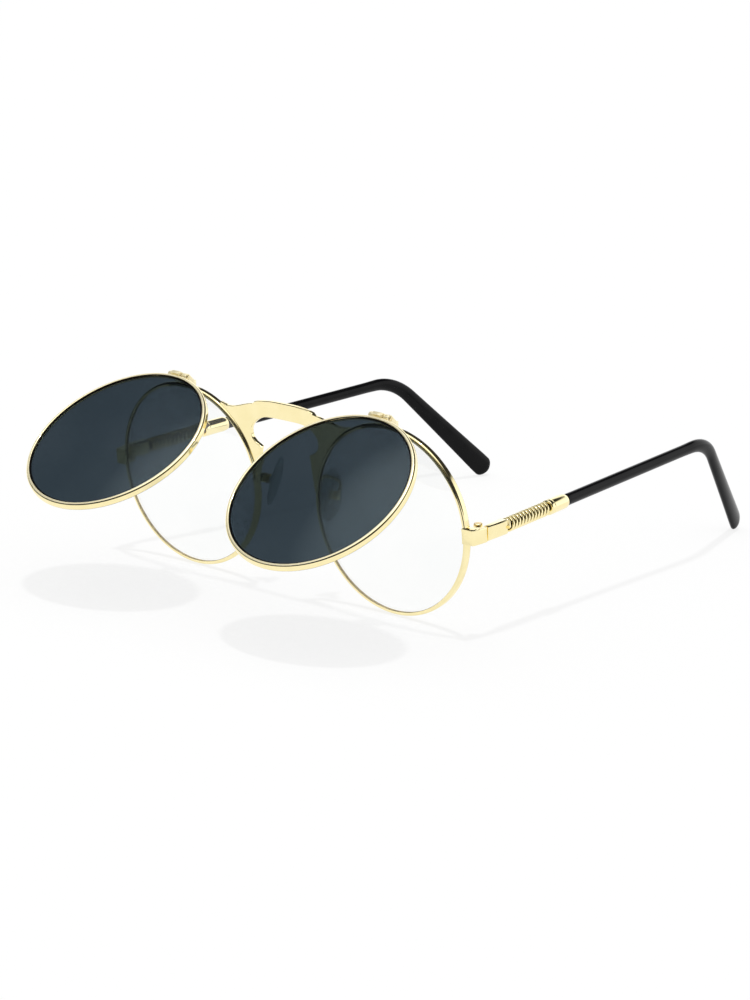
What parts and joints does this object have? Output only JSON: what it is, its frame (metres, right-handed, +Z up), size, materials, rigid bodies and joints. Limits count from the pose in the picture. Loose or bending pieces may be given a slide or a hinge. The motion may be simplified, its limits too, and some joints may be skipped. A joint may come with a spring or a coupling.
{
  "type": "flip-up reading glasses",
  "caption": "Round wire-rimmed reading glasses with tinted lenses that flip up in front, a flat keyhole bridge, nose pads and folding temples with coil springs and black tips.",
  "frame": {"origin": "middle of the footprint, on the surface the glasses stand on", "axes": "+X towards the wearer's left, +Y from the front back to the temple tips, +Z up"},
  "size_m": [0.1276, 0.1878, 0.0538],
  "materials": {
    "gold_metal": "polished pale gold plating",
    "screw_metal": "polished, slightly darker than the frame",
    "clear_lens": "clear and colourless",
    "tinted_lens": "dark blue-grey tint, polished",
    "black_tip": "polished black",
    "clear_silicone": "clear, slightly milky"
  },
  "bodies": {
    "front": {"bridge_plate": "gold_metal", "left_end_piece": "gold_metal", "left_flip_base": "gold_metal", "left_flip_pin": "screw_metal", "left_hinge_screw": "screw_metal", "left_lens": "clear_lens", "left_lock_screw": "screw_metal", "left_pad_arm": "gold_metal", "left_pad_box": "gold_metal", "left_pad_screw": "screw_metal", "left_rim": "gold_metal", "left_rim_lock": "gold_metal", "right_end_piece": "gold_metal", "right_flip_base": "gold_metal", "right_flip_pin": "screw_metal", "right_hinge_screw": "screw_metal", "right_lens": "clear_lens", "right_lock_screw": "screw_metal", "right_pad_arm": "gold_metal", "right_pad_box": "gold_metal", "right_pad_screw": "screw_metal", "right_rim": "gold_metal", "right_rim_lock": "gold_metal"},
    "left_flip": {"left_flip_leaf": "gold_metal", "left_flip_lens": "tinted_lens", "left_flip_ring": "gold_metal"},
    "left_pad": {"left_nose_pad": "clear_silicone"},
    "left_temple": {"left_temple_bar": "gold_metal", "left_temple_ferrule": "gold_metal", "left_temple_spring": "gold_metal", "left_temple_tip": "black_tip"},
    "right_flip": {"right_flip_leaf": "gold_metal", "right_flip_lens": "tinted_lens", "right_flip_ring": "gold_metal"},
    "right_pad": {"right_nose_pad": "clear_silicone"},
    "right_temple": {"right_temple_bar": "gold_metal", "right_temple_ferrule": "gold_metal", "right_temple_spring": "gold_metal", "right_temple_tip": "black_tip"}
  },
  "joints": [
    {"name": "left_flip_hinge", "type": "hinge", "parent": "front", "child": "left_flip", "pos_m": [0.03481, -0.04969, 0.05227], "axis": [-1, 0, 0], "range_deg": [-58.6, 36.4]},
    {"name": "left_temple_hinge", "type": "hinge", "parent": "front", "child": "left_temple", "pos_m": [0.06011, -0.04132, 0.02593], "axis": [0, -0.0999, 0.995], "range_deg": [0, 77]},
    {"name": "left_pad_rock", "type": "hinge", "parent": "front", "child": "left_pad", "pos_m": [0.01201, -0.03942, 0.02652], "axis": [0.4062, 0.8944, -0.1872], "range_deg": [-12, 12]},
    {"name": "right_flip_hinge", "type": "hinge", "parent": "front", "child": "right_flip", "pos_m": [-0.03499, -0.04969, 0.05227], "axis": [-1, 0, 0], "range_deg": [-62.6, 32.4]},
    {"name": "right_temple_hinge", "type": "hinge", "parent": "front", "child": "right_temple", "pos_m": [-0.06028, -0.04132, 0.02593], "axis": [0, 0.0999, -0.995], "range_deg": [0, 47]},
    {"name": "right_pad_rock", "type": "hinge", "parent": "front", "child": "right_pad", "pos_m": [-0.01218, -0.03942, 0.02652], "axis": [-0.4062, 0.8944, -0.1872], "range_deg": [-12, 12]}
  ]
}
